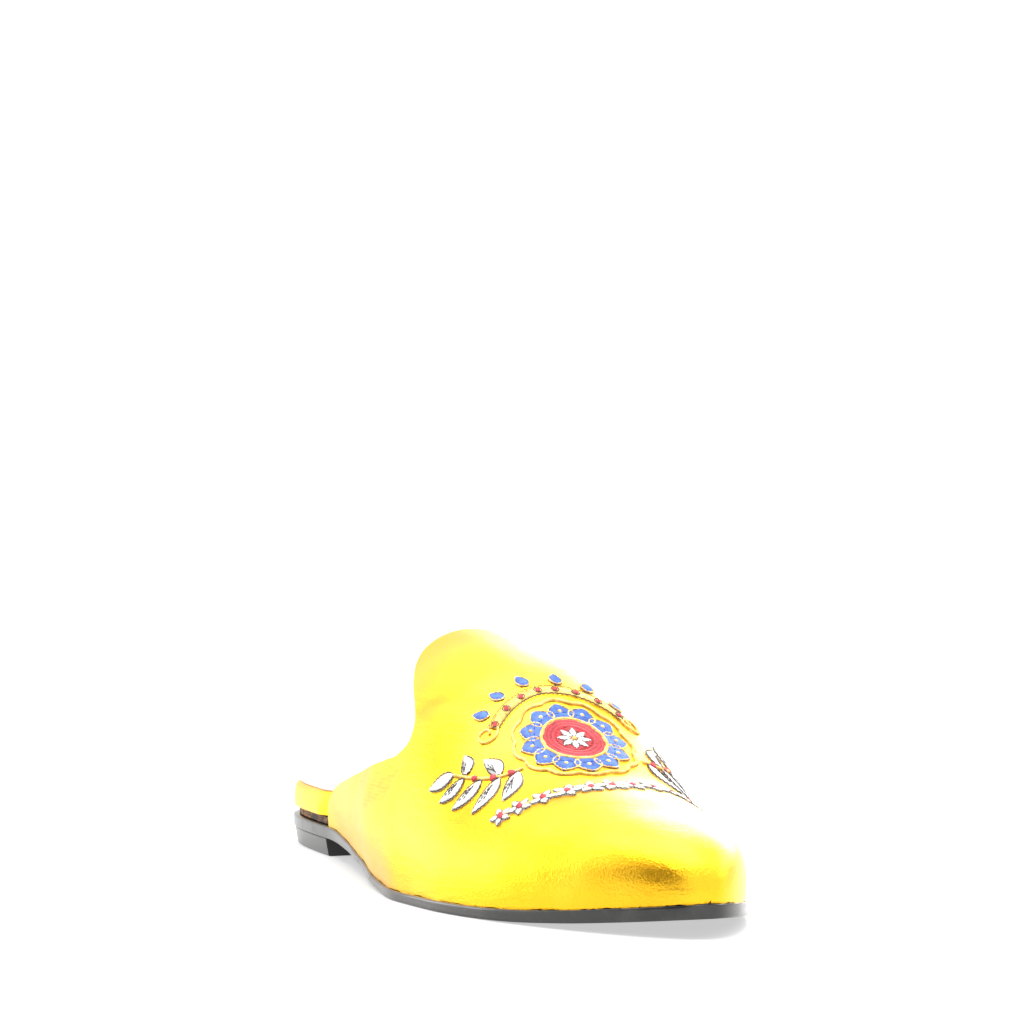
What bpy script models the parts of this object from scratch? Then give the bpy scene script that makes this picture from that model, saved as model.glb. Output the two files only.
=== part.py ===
"""A flat backless slipper for the right foot, with an almond toe and a high tongue.

Metres, +Z up, the toe towards -Y and the outer side of the foot towards -X. The origin is the
centre of the slipper's box, on the floor. A station is a distance from the back of the heel
towards the toe, and the tables give it as a share of LENGTH.
"""

import math

import bmesh
import bpy
import numpy as np
from mathutils import Vector

# Driving sizes
LENGTH = 0.260
BALL_WIDTH = 0.080
HEEL_WIDTH = 0.057
HEEL_HEIGHT = 0.0055
HEEL_LENGTH = 0.062
OUTSOLE_THICKNESS = 0.0037
TOE_SPRING = 0.0050
BOARD_THICKNESS = 0.0020
FOOTBED_THICKNESS = 0.0076
INSTEP_HEIGHT = 0.0700
TOE_BOX_HEIGHT = 0.0200
UPPER_WALL = 0.0018
CLEARANCE = 0.0003

# How far each layer stands in from the edge of the outsole
UPPER_INSET = 0.0010
BOARD_INSET = 0.0018
FOOTBED_HEEL_INSET = 0.0004
HEEL_INSET = 0.0006
HEEL_TAPER = 0.0008
BELLY_HEIGHT = 0.0180
OUTSOLE_BEVEL = 0.0006
FOOTBED_ROUND = 0.0022
FOOTBED_DISH = 0.0016
WING_GAP = 0.0010

# How round the outline is at its two ends: the larger, the blunter
TOE_BLUNTNESS = 13.0
HEEL_BLUNTNESS = 5.2
NOSE_BLUNTNESS = 34.0

# How finely the surfaces are faceted
SOLE_STATIONS = 46
UPPER_ROWS = 38
UPPER_COLUMNS = 50

# Plan of the outsole: the width is the sum of a share of the heel's and one of the ball's width,
# and the centre line wanders from the axis by a share of the ball's width
PLAN_COLUMNS = ("station", "of_heel_width", "of_ball_width", "centre")
PLAN = (
    (0.000, 0.940, 0.000, 0.000),
    (0.070, 0.985, 0.000, 0.000),
    (0.150, 1.000, 0.000, 0.000),
    (0.240, 0.960, 0.000, -0.010),
    (0.346, 0.560, 0.255, -0.048),
    (0.423, 0.340, 0.440, -0.068),
    (0.500, 0.160, 0.650, -0.068),
    (0.577, 0.050, 0.845, -0.044),
    (0.646, 0.000, 0.975, -0.010),
    (0.719, 0.000, 0.985, 0.027),
    (0.796, 0.000, 0.915, 0.062),
    (0.854, 0.000, 0.815, 0.088),
    (0.904, 0.000, 0.700, 0.106),
    (0.954, 0.000, 0.570, 0.122),
    (1.000, 0.000, 0.430, 0.134),
)

# Underside of the outsole: a share of the heel's height and one of the toe spring; and the sole's
# thickness as a share of that at the heel, thinned down at the waist
RISE_COLUMNS = ("station", "of_heel_height", "of_toe_spring", "thickness")
RISE = (
    (0.000, 1.000, 0.000, 1.000),
    (0.250, 1.000, 0.000, 1.000),
    (0.346, 0.880, 0.000, 0.700),
    (0.423, 0.640, 0.000, 0.560),
    (0.500, 0.330, 0.000, 0.560),
    (0.560, 0.110, 0.000, 0.640),
    (0.610, 0.000, 0.000, 0.710),
    (0.770, 0.000, 0.000, 0.820),
    (0.827, 0.000, 0.060, 0.860),
    (0.885, 0.000, 0.270, 0.900),
    (0.942, 0.000, 0.600, 0.940),
    (1.000, 0.000, 1.000, 0.960),
)

# Footbed: its thickness along the foot, as a share of that at the heel
FOOTBED_COLUMNS = ("station", "thickness")
FOOTBED = (
    (0.000, 1.000),
    (0.180, 1.000),
    (0.300, 0.920),
    (0.450, 0.720),
    (0.650, 0.560),
    (1.000, 0.480),
)

# Last of the upper: height of the crown above the outsole as a share of the instep's and of the
# toe box's height, wander of the ridge from the centre line and swell of the walls past the sole's
# edge as shares of the ball's width, and roundness of the section on the foot's outer and inner
# side, where 2 is an ellipse and more is squarer
LAST_COLUMNS = ("station", "of_instep", "of_toe_box", "ridge", "belly", "outer_round", "inner_round")
LAST = (
    (0.240, 0.980, 0.000, 0.070, 0.030, 2.20, 2.40),
    (0.346, 0.960, 0.000, 0.072, 0.042, 2.16, 2.40),
    (0.423, 0.926, 0.000, 0.076, 0.048, 2.12, 2.52),
    (0.500, 0.905, 0.000, 0.082, 0.049, 2.06, 2.60),
    (0.577, 0.843, 0.000, 0.086, 0.042, 1.98, 2.62),
    (0.631, 0.712, 0.107, 0.078, 0.033, 1.94, 2.55),
    (0.704, 0.379, 0.628, 0.052, 0.025, 1.98, 2.36),
    (0.762, 0.151, 1.022, 0.030, 0.021, 2.06, 2.21),
    (0.827, 0.030, 1.270, 0.018, 0.019, 2.15, 2.19),
    (0.885, 0.000, 1.150, 0.014, 0.018, 2.32, 2.35),
    (0.942, 0.000, 0.960, 0.012, 0.016, 2.48, 2.51),
    (1.000, 0.000, 0.755, 0.010, 0.014, 2.60, 2.64),
)

# Topline: how far from the heel the upper's rear edge lies, against the way round the section,
# which runs from 0 at the outer edge of the sole over the ridge at 0.5 to 1 at its inner edge
TOPLINE_COLUMNS = ("around", "station")
TOPLINE = (
    (0.000, 0.246),
    (0.022, 0.257),
    (0.044, 0.288),
    (0.063, 0.326),
    (0.088, 0.384),
    (0.118, 0.447),
    (0.144, 0.495),
    (0.173, 0.541),
    (0.197, 0.566),
    (0.218, 0.573),
    (0.240, 0.566),
    (0.270, 0.535),
    (0.301, 0.484),
    (0.331, 0.453),
    (0.364, 0.439),
    (0.412, 0.435),
    (0.500, 0.434),
    (0.588, 0.435),
    (0.636, 0.439),
    (0.669, 0.453),
    (0.699, 0.484),
    (0.730, 0.535),
    (0.760, 0.566),
    (0.782, 0.573),
    (0.803, 0.566),
    (0.827, 0.541),
    (0.856, 0.495),
    (0.882, 0.447),
    (0.912, 0.384),
    (0.937, 0.326),
    (0.956, 0.288),
    (0.978, 0.257),
    (1.000, 0.246),
)

OUTSOLE_COLOUR = (0.020, 0.019, 0.018, 1.0)
BOARD_COLOUR = (0.060, 0.030, 0.016, 1.0)
LEATHER_COLOUR = (0.900, 0.560, 0.060, 1.0)


def steady_curve(places, values, at):
    """A smooth curve through the values that never overshoots them, read at the places asked for."""
    places, values = np.asarray(places, float), np.asarray(values, float)
    steps = np.diff(places)
    slopes = np.diff(values) / steps
    tangents = np.zeros_like(values)
    for i in range(1, len(values) - 1):
        before, after = slopes[i - 1], slopes[i]
        if before * after > 0:
            tangents[i] = 2 * before * after / (before + after)
    tangents[0], tangents[-1] = slopes[0], slopes[-1]
    at = np.clip(np.asarray(at, float), places[0], places[-1])
    i = np.clip(np.searchsorted(places, at, side="right") - 1, 0, len(steps) - 1)
    t = (at - places[i]) / steps[i]
    rise = values[i + 1] - values[i]
    return (
        values[i]
        + rise * t * t * (3 - 2 * t)
        + steps[i] * t * (1 - t) * (tangents[i] * (1 - t) - tangents[i + 1] * t)
    )


def column(table, names, name, at):
    """One named column of a table, read at any places in its first column."""
    rows = np.asarray(table, float)
    return steady_curve(rows[:, 0], rows[:, names.index(name)], at)


def sole_width(station):
    """Full width of the outsole at a station, with both ends rounded off."""
    share = np.clip(station / LENGTH, 0, 1)
    plain = HEEL_WIDTH * column(PLAN, PLAN_COLUMNS, "of_heel_width", share) + (
        BALL_WIDTH * column(PLAN, PLAN_COLUMNS, "of_ball_width", share)
    )
    toe_end = np.sqrt(np.clip(1 - share**TOE_BLUNTNESS, 0, 1))
    heel_end = np.sqrt(np.clip(1 - (1 - share) ** (HEEL_BLUNTNESS * LENGTH / HEEL_WIDTH), 0, 1))
    return plain * toe_end * heel_end


def centre_line(station):
    """Sideways place of the sole's centre line, towards the inner side of the foot."""
    return BALL_WIDTH * column(PLAN, PLAN_COLUMNS, "centre", station / LENGTH)


def underside(station):
    """Height of the outsole's underside, on the floor under the ball of the foot."""
    share = station / LENGTH
    return HEEL_HEIGHT * column(RISE, RISE_COLUMNS, "of_heel_height", share) + (
        TOE_SPRING * column(RISE, RISE_COLUMNS, "of_toe_spring", share)
    )


def outsole_top(station):
    """Height of the outsole's upper face."""
    thickness = column(RISE, RISE_COLUMNS, "thickness", station / LENGTH)
    return underside(station) + OUTSOLE_THICKNESS * thickness


def crown(station):
    """Height of the upper's ridge above the outsole, rounded off at the nose."""
    share = np.clip(station / LENGTH, 0, 1)
    plain = INSTEP_HEIGHT * column(LAST, LAST_COLUMNS, "of_instep", share) + (
        TOE_BOX_HEIGHT * column(LAST, LAST_COLUMNS, "of_toe_box", share)
    )
    nose = (LENGTH - UPPER_INSET) / LENGTH
    return plain * np.sqrt(np.clip(1 - (share / nose) ** NOSE_BLUNTNESS, 0, 1))


def inset_stations(count, inset):
    """Stations that crowd together at both round ends of a layer that stands in by an inset."""
    turn = np.linspace(0, math.pi, count)
    middle = 0.5 * (1 - np.cos(turn))
    even = np.linspace(0, 1, count)
    share = 0.62 * middle + 0.38 * even
    end_facet = 0.00006
    return inset + end_facet + (LENGTH - 2 * (inset + end_facet)) * share


def half_width(station, inset):
    """Half the width of a layer that stands in from the outsole's edge by an inset all round."""
    squeezed = (station - inset) / (LENGTH - 2 * inset) * LENGTH
    return sole_width(squeezed) / 2 * (1 - 2 * inset / BALL_WIDTH)


def mesh_object(name, points, faces, colour, roughness, metallic=0.0, sharp=35.0):
    """A mesh object with its own material, smooth but for its sharp edges."""
    mesh = bpy.data.meshes.new(name)
    mesh.from_pydata([tuple(point) for point in points], [], faces)
    shape = bmesh.new()
    shape.from_mesh(mesh)
    bmesh.ops.recalc_face_normals(shape, faces=shape.faces)
    shape.to_mesh(mesh)
    shape.free()
    mesh.shade_smooth()
    mesh.set_sharp_from_angle(angle=math.radians(sharp))
    material = bpy.data.materials.new(name)
    material.use_nodes = True
    surface = material.node_tree.nodes["Principled BSDF"]
    surface.inputs["Base Color"].default_value = colour
    surface.inputs["Roughness"].default_value = roughness
    surface.inputs["Metallic"].default_value = metallic
    mesh.materials.append(material)
    made = bpy.data.objects.new(name, mesh)
    bpy.context.scene.collection.objects.link(made)
    return made


def tube_of_rings(rings):
    """Points and faces of rings joined one after another, with the two ends closed."""
    count = len(rings[0])
    points = [point for ring in rings for point in ring]
    faces = []
    for row in range(len(rings) - 1):
        for i in range(count):
            j = (i + 1) % count
            a, b = row * count, (row + 1) * count
            faces.append((a + i, a + j, b + j, b + i))
    faces.append(tuple(reversed(range(count))))
    faces.append(tuple(range((len(rings) - 1) * count, len(rings) * count)))
    return points, faces


def layer_ring(station, reach, section):
    """A closed section of a flat layer: (share of the half width, inset, height) on each side."""
    middle = float(centre_line(station))
    left = [(middle - (reach * share - inset), -station, z) for share, inset, z in section]
    right = [(middle + (reach * share - inset), -station, z) for share, inset, z in section]
    return left + right[::-1]


def make_outsole():
    """The thin outsole: flat under the ball, raised over the heel block and sprung at the toe."""
    rings = []
    for station in inset_stations(SOLE_STATIONS, 0.0):
        reach = float(half_width(station, 0.0))
        low, high = float(underside(station)), float(outsole_top(station))
        bevel = min(OUTSOLE_BEVEL, reach * 0.4)
        section = (
            (0.0, 0.0, low),
            (0.5, 0.0, low),
            (1.0, bevel, low),
            (1.0, 0.0, low + OUTSOLE_BEVEL),
            (1.0, 0.0, high - OUTSOLE_BEVEL * 0.5),
            (1.0, bevel * 0.5, high),
            (0.5, 0.0, high),
            (0.0, 0.0, high),
        )
        # The middle of each face is one point, so the ring runs down one side and up the other
        middle = float(centre_line(station))
        side = section[1:-1]
        ring = [(middle, -station, low)]
        ring += [(middle - (reach * share - inset), -station, z) for share, inset, z in side]
        ring += [(middle, -station, high)]
        ring += [(middle + (reach * share - inset), -station, z) for share, inset, z in side[::-1]]
        rings.append(ring)
    points, faces = tube_of_rings(rings)
    return mesh_object("outsole", points, faces, OUTSOLE_COLOUR, 0.45)


def make_heel():
    """The low stacked heel block, cut straight across at the breast."""
    top = HEEL_HEIGHT - CLEARANCE
    # The block stops where the outsole's underside starts to fall away
    stations = HEEL_INSET + (HEEL_LENGTH - HEEL_INSET) * (
        1 - np.cos(np.linspace(0.03, math.pi / 2, 18))
    )
    rings = []
    for taper, z in ((HEEL_TAPER, 0.0), (HEEL_TAPER * 0.4, 0.0006), (0.0, top)):
        reach = [float(half_width(s, HEEL_INSET)) - taper for s in stations]
        middle = [float(centre_line(s)) for s in stations]
        back = [s + taper * (1 - s / HEEL_LENGTH) for s in stations]
        left = [(m - max(r, 0.0004), -s, z) for m, r, s in zip(middle, reach, back)]
        right = [(m + max(r, 0.0004), -s, z) for m, r, s in zip(middle, reach, back)]
        rings.append(left + right[::-1])
    points, faces = tube_of_rings(rings)
    return mesh_object("heel", points, faces, OUTSOLE_COLOUR, 0.5)


def board_top(station):
    """Height of the insole board's upper face."""
    return outsole_top(station) + CLEARANCE + BOARD_THICKNESS


def inner_inset():
    """How far a layer inside the upper stands in from the outsole's edge."""
    return UPPER_INSET + UPPER_WALL + CLEARANCE


def step_inset(station, heel_inset):
    """The inset of a layer that shows at the heel and goes inside the upper's walls ahead of it."""
    inside = inner_inset() + 0.0004
    wing_end = LENGTH * TOPLINE[0][1] - WING_GAP
    t = np.clip((station - (wing_end - 0.004)) / 0.004, 0, 1)
    return heel_inset + (inside - heel_inset) * t * t * (3 - 2 * t)


def layer_inset_reach(station, heel_inset):
    """Half width of a stepped layer, its inset measured square to the sole's outline."""
    step = 0.0002
    slope = (half_width(station + step, 0.0) - half_width(station - step, 0.0)) / (2 * step)
    stretch = np.sqrt(1 + slope**2)
    return float(half_width(station, 0.0) - step_inset(station, heel_inset) * stretch)


def stepped_stations(heel_inset):
    """Stations of a stepped layer, with extra ones through its step and crowding at both ends."""
    first = heel_inset + 0.0005
    last = LENGTH - inner_inset() - 0.0030
    even = np.linspace(0, 1, SOLE_STATIONS - 6)
    middle = 0.5 * (1 - np.cos(even * math.pi))
    run = first + (last - first) * (0.6 * middle + 0.4 * even)
    wing_end = LENGTH * TOPLINE[0][1] - WING_GAP
    step = wing_end - 0.004 * np.array([1.15, 0.75, 0.5, 0.25, -0.15])
    return np.unique(np.concatenate([run, step]))


def make_board():
    """The firm insole board, whose dark edge shows between the outsole and the footbed's heel."""
    rings = []
    for station in stepped_stations(BOARD_INSET):
        reach = max(layer_inset_reach(station, BOARD_INSET), 0.0008)
        low = float(outsole_top(station)) + CLEARANCE
        high = float(board_top(station))
        rings.append(layer_ring(station, reach, ((1.0, 0.0, low), (1.0, 0.0, high))))
    points, faces = tube_of_rings(rings)
    return mesh_object("insole_board", points, faces, BOARD_COLOUR, 0.6)


def footbed_top(station):
    """Height of the footbed's rim."""
    share = station / LENGTH
    thickness = FOOTBED_THICKNESS * column(FOOTBED, FOOTBED_COLUMNS, "thickness", share)
    return board_top(station) + CLEARANCE + thickness


def make_footbed():
    """The padded footbed, wrapped in leather, with a rounded rim and a shallow dish for the foot."""
    rings = []
    for station in stepped_stations(FOOTBED_HEEL_INSET):
        reach = max(layer_inset_reach(station, FOOTBED_HEEL_INSET), 0.0010)
        low = float(board_top(station)) + CLEARANCE
        high = float(footbed_top(station))
        round_off = min(FOOTBED_ROUND, reach * 0.6, (high - low) * 0.45)
        dish = FOOTBED_DISH * min(1.0, reach / (HEEL_WIDTH / 2))
        section = (
            (1.0, 0.0004 if reach > 0.002 else 0.0, low),
            (1.0, 0.0, low + 0.0008),
            (1.0, 0.0, high - round_off),
            (1.0, round_off * 0.29, high - round_off * 0.29),
            (1.0, round_off, high),
            (0.72, 0.0, high - dish * 0.55),
            (0.36, 0.0, high - dish),
        )
        rings.append(layer_ring(station, reach, section))
    points, faces = tube_of_rings(rings)
    return mesh_object("footbed", points, faces, LEATHER_COLOUR, 0.35, 0.8)


def outline_normal(station, side):
    """Direction square to the feather line in plan, for the outer side at -1 or the inner at 1."""
    step = 0.00005
    high = np.clip(station + step, 0, LENGTH - UPPER_INSET)
    low = np.clip(station - step, 0, LENGTH - UPPER_INSET)
    edge_high = centre_line(high) + side * half_width(high, UPPER_INSET)
    edge_low = centre_line(low) + side * half_width(low, UPPER_INSET)
    run = np.maximum(high - low, 1e-9)
    slope = (edge_high - edge_low) / run
    length = np.sqrt(1 + slope**2)
    return side / length, side * slope / length


def last_point(station, around):
    """Points on the upper's outer face: around goes from the outer edge over the ridge to the inner."""
    share = station / LENGTH
    angle = math.pi * around
    outer_round = column(LAST, LAST_COLUMNS, "outer_round", share)
    inner_round = column(LAST, LAST_COLUMNS, "inner_round", share)
    power = 2 / np.where(around < 0.5, outer_round, inner_round)
    across = np.sign(np.cos(angle)) * np.abs(np.cos(angle)) ** power
    lift = np.clip(np.sin(angle), 0, 1) ** power
    height = crown(station) * lift
    ridge = BALL_WIDTH * column(LAST, LAST_COLUMNS, "ridge", share) * lift**2
    reach = half_width(station, UPPER_INSET)
    # The walls swell out over the edge of the sole, square to its outline
    belly = BALL_WIDTH * column(LAST, LAST_COLUMNS, "belly", share)
    swell = belly * np.sin(np.minimum(height / BELLY_HEIGHT, 1) * math.pi / 2)
    outer_x, outer_y = outline_normal(station, -1)
    inner_x, inner_y = outline_normal(station, 1)
    outer_part, inner_part = (1 + across) / 2, (1 - across) / 2
    push_x = outer_x * outer_part + inner_x * inner_part
    push_y = outer_y * outer_part + inner_y * inner_part
    x = centre_line(station) + ridge - reach * across + swell * push_x
    y = -station + swell * push_y
    z = outsole_top(station) + CLEARANCE + height
    return np.stack([x, y, z], axis=-1)


def upper_grid():
    """Points of the upper's outer face, one row for each step from the topline to the toe."""
    columns = np.linspace(0, 1, UPPER_COLUMNS + 1)
    # Even steps round the section crowd the low walls, so the angle is eased towards the edges
    around = columns - 0.045 * np.sin(2 * math.pi * columns)
    start = LENGTH * column(TOPLINE, TOPLINE_COLUMNS, "station", around)
    end = LENGTH - UPPER_INSET - 0.00005
    t = np.linspace(0, 1, UPPER_ROWS + 1)
    eased = 0.15 * (1 - (1 - t) ** 3) + 0.85 * np.sin(t * math.pi / 2)
    return np.array([last_point(start + (end - start) * step, around) for step in eased])


def grid_normals(grid):
    """Outward unit normals of a grid of points."""
    down = np.gradient(grid, axis=0)
    across = np.gradient(grid, axis=1)
    normal = np.cross(across, down)
    normal /= np.maximum(np.linalg.norm(normal, axis=2, keepdims=True), 1e-9)
    middle = normal[:, normal.shape[1] // 2, 2].mean()
    return normal * np.sign(middle)


def make_upper():
    """The upper: one leather shell, open at the heel and the throat and under the foot."""
    outer = upper_grid()
    inner = outer - grid_normals(outer) * UPPER_WALL
    floor = outsole_top(-inner[:, :, 1]) + CLEARANCE
    inner[:, :, 2] = np.maximum(inner[:, :, 2], floor)
    for edge in (0, -1):
        inner[:, edge, 2] = outsole_top(-inner[:, edge, 1]) + CLEARANCE
    rows, columns = outer.shape[:2]
    points = [tuple(p) for p in outer.reshape(-1, 3)] + [tuple(p) for p in inner.reshape(-1, 3)]
    shift = rows * columns
    faces = []
    for r in range(rows - 1):
        for c in range(columns - 1):
            a, b = r * columns + c, (r + 1) * columns + c
            faces.append((a, a + 1, b + 1, b))
            faces.append((shift + a, shift + b, shift + b + 1, shift + a + 1))
    for c in range(columns - 1):
        faces.append((c, shift + c, shift + c + 1, c + 1))
        a = (rows - 1) * columns + c
        faces.append((a, a + 1, shift + a + 1, shift + a))
    for r in range(rows - 1):
        a, b = r * columns, (r + 1) * columns
        faces.append((a, b, shift + b, shift + a))
        a, b = a + columns - 1, b + columns - 1
        faces.append((a, shift + a, shift + b, b))
    return mesh_object("upper", points, faces, LEATHER_COLOUR, 0.3, 0.9)


def centre_on_floor(objects):
    """Moves every mesh so that the origin is the middle of the whole box, on the floor."""
    corners = np.array([vertex.co for made in objects for vertex in made.data.vertices])
    low, high = corners.min(axis=0), corners.max(axis=0)
    shift = Vector((-(low[0] + high[0]) / 2, -(low[1] + high[1]) / 2, -low[2]))
    for made in objects:
        for vertex in made.data.vertices:
            vertex.co += shift


def main():
    """Clears the scene and builds the slipper from the floor up."""
    for old in list(bpy.data.objects):
        bpy.data.objects.remove(old)
    made = [make_outsole(), make_heel(), make_board(), make_footbed(), make_upper()]
    centre_on_floor(made)


main()
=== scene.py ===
"""Looks of a flat gold slipper with an embroidered vamp, on a plain pale floor.

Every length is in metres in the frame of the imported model: +Z up, the toe towards -Y and the outer
side of the foot towards -X. A station is a distance from the back of the heel towards the toe.
"""

import logging
import math
from dataclasses import dataclass, field
from enum import Enum

import bpy
import numpy as np
from mathutils import Matrix, Vector


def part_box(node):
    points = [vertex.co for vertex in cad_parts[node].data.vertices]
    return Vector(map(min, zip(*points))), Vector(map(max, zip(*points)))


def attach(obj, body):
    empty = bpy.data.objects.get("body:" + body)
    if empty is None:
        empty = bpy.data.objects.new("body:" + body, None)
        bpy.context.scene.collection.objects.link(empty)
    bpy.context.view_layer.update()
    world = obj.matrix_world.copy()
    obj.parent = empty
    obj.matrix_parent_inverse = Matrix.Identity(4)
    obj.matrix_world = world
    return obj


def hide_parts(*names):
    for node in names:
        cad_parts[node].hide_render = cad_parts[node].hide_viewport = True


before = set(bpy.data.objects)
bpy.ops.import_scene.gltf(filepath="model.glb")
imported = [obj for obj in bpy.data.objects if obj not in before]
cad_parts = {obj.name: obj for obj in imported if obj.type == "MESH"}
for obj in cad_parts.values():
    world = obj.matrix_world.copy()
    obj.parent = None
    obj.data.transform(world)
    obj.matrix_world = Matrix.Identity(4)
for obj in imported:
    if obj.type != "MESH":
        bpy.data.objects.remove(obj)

LOG = logging.getLogger("slipper")

Array = np.ndarray
Piece = bpy.types.Object

LENGTH = 0.260
BALL_WIDTH = 0.080
HEEL_WIDTH = 0.057
HEEL_HEIGHT = 0.0055
OUTSOLE_THICKNESS = 0.0037
TOE_SPRING = 0.0050
BOARD_THICKNESS = 0.0020
FOOTBED_THICKNESS = 0.0076
INSTEP_HEIGHT = 0.0700
TOE_BOX_HEIGHT = 0.0200
UPPER_WALL = 0.0018
CLEARANCE = 0.0003
UPPER_INSET = 0.0010
BELLY_HEIGHT = 0.0180
FOOTBED_HEEL_INSET = 0.0004
FOOTBED_ROUND = 0.0022
FOOTBED_DISH = 0.0016
WING_GAP = 0.0010
TOE_BLUNTNESS = 13.0
HEEL_BLUNTNESS = 5.2
NOSE_BLUNTNESS = 34.0

# The part's own tables. Each row starts with a station as a share of the length.
# PLAN: share of the heel's width, share of the ball's width, sideways place of the centre
PLAN = (
    (0.000, 0.940, 0.000, 0.000),
    (0.070, 0.985, 0.000, 0.000),
    (0.150, 1.000, 0.000, 0.000),
    (0.240, 0.960, 0.000, -0.010),
    (0.346, 0.560, 0.255, -0.048),
    (0.423, 0.340, 0.440, -0.068),
    (0.500, 0.160, 0.650, -0.068),
    (0.577, 0.050, 0.845, -0.044),
    (0.646, 0.000, 0.975, -0.010),
    (0.719, 0.000, 0.985, 0.027),
    (0.796, 0.000, 0.915, 0.062),
    (0.854, 0.000, 0.815, 0.088),
    (0.904, 0.000, 0.700, 0.106),
    (0.954, 0.000, 0.570, 0.122),
    (1.000, 0.000, 0.430, 0.134),
)
# RISE: share of the heel block's height, share of the toe spring, share of the thickness
RISE = (
    (0.000, 1.000, 0.000, 1.000),
    (0.250, 1.000, 0.000, 1.000),
    (0.346, 0.880, 0.000, 0.700),
    (0.423, 0.640, 0.000, 0.560),
    (0.500, 0.330, 0.000, 0.560),
    (0.560, 0.110, 0.000, 0.640),
    (0.610, 0.000, 0.000, 0.710),
    (0.770, 0.000, 0.000, 0.820),
    (0.827, 0.000, 0.060, 0.860),
    (0.885, 0.000, 0.270, 0.900),
    (0.942, 0.000, 0.600, 0.940),
    (1.000, 0.000, 1.000, 0.960),
)
# FOOTBED: share of the footbed's thickness
FOOTBED = (
    (0.000, 1.000),
    (0.180, 1.000),
    (0.300, 0.920),
    (0.450, 0.720),
    (0.650, 0.560),
    (1.000, 0.480),
)
# LAST: shares of the instep and of the toe box, ridge, belly, and the two sides' roundness
LAST = (
    (0.240, 0.980, 0.000, 0.070, 0.030, 2.20, 2.40),
    (0.346, 0.960, 0.000, 0.072, 0.042, 2.16, 2.40),
    (0.423, 0.926, 0.000, 0.076, 0.048, 2.12, 2.52),
    (0.500, 0.905, 0.000, 0.082, 0.049, 2.06, 2.60),
    (0.577, 0.843, 0.000, 0.086, 0.042, 1.98, 2.62),
    (0.631, 0.712, 0.107, 0.078, 0.033, 1.94, 2.55),
    (0.704, 0.379, 0.628, 0.052, 0.025, 1.98, 2.36),
    (0.762, 0.151, 1.022, 0.030, 0.021, 2.06, 2.21),
    (0.827, 0.030, 1.270, 0.018, 0.019, 2.15, 2.19),
    (0.885, 0.000, 1.150, 0.014, 0.018, 2.32, 2.35),
    (0.942, 0.000, 0.960, 0.012, 0.016, 2.48, 2.51),
    (1.000, 0.000, 0.755, 0.010, 0.014, 2.60, 2.64),
)
# The way round the upper, then the station of the leather's edge
HALF_TOPLINE = (
    (0.000, 0.246),
    (0.022, 0.257),
    (0.044, 0.288),
    (0.063, 0.326),
    (0.088, 0.384),
    (0.118, 0.447),
    (0.144, 0.495),
    (0.173, 0.541),
    (0.197, 0.566),
    (0.218, 0.573),
    (0.240, 0.566),
    (0.270, 0.535),
    (0.301, 0.484),
    (0.331, 0.453),
    (0.364, 0.439),
    (0.412, 0.435),
    (0.500, 0.434),
)
TOPLINE = np.array(HALF_TOPLINE + tuple((1 - a, s) for a, s in HALF_TOPLINE[-2::-1]))

# The photograph's camera: where it stands from the middle of the heel's back, and its aim
CAMERA_PLACE = Vector((-0.27005, -0.88450, 0.09970))
CAMERA_AZIMUTH = math.radians(-20.183)
CAMERA_ELEVATION = math.radians(-0.301)
CAMERA_LENS_MM = 99.37
SENSOR_MM = 36.0

MERGE_DISTANCE = 0.00001
VAMP_GIRTH = 0.105
TINY = 1e-12


def steady_curve(places: Array, values: Array, at: Array) -> Array:
    """Reads a smooth curve that never overshoots its values.

    Args:
        places: where the values stand, rising.
        values: the values there.
        at: the places to read.

    Returns:
        The curve's height at each place asked for.
    """
    steps = np.diff(places)
    slopes = np.diff(values) / steps
    tangents = np.zeros_like(values)
    both = slopes[:-1] * slopes[1:]
    total = slopes[:-1] + slopes[1:]
    safe = np.where(both > 0, total, 1.0)
    tangents[1:-1] = np.where(both > 0, 2 * both / safe, 0.0)
    tangents[0], tangents[-1] = slopes[0], slopes[-1]
    at = np.clip(np.asarray(at, float), places[0], places[-1])
    i = np.clip(np.searchsorted(places, at, side="right") - 1, 0, len(steps) - 1)
    t = (at - places[i]) / steps[i]
    rise = values[i + 1] - values[i]
    bend = steps[i] * t * (1 - t) * (tangents[i] * (1 - t) - tangents[i + 1] * t)
    return values[i] + rise * t * t * (3 - 2 * t) + bend


def smooth_step(low: float, high: float, at: Array) -> Array:
    """A ramp from 0 at low to 1 at high with soft ends."""
    t = np.clip((np.asarray(at, float) - low) / (high - low), 0, 1)
    return t * t * (3 - 2 * t)


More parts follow.
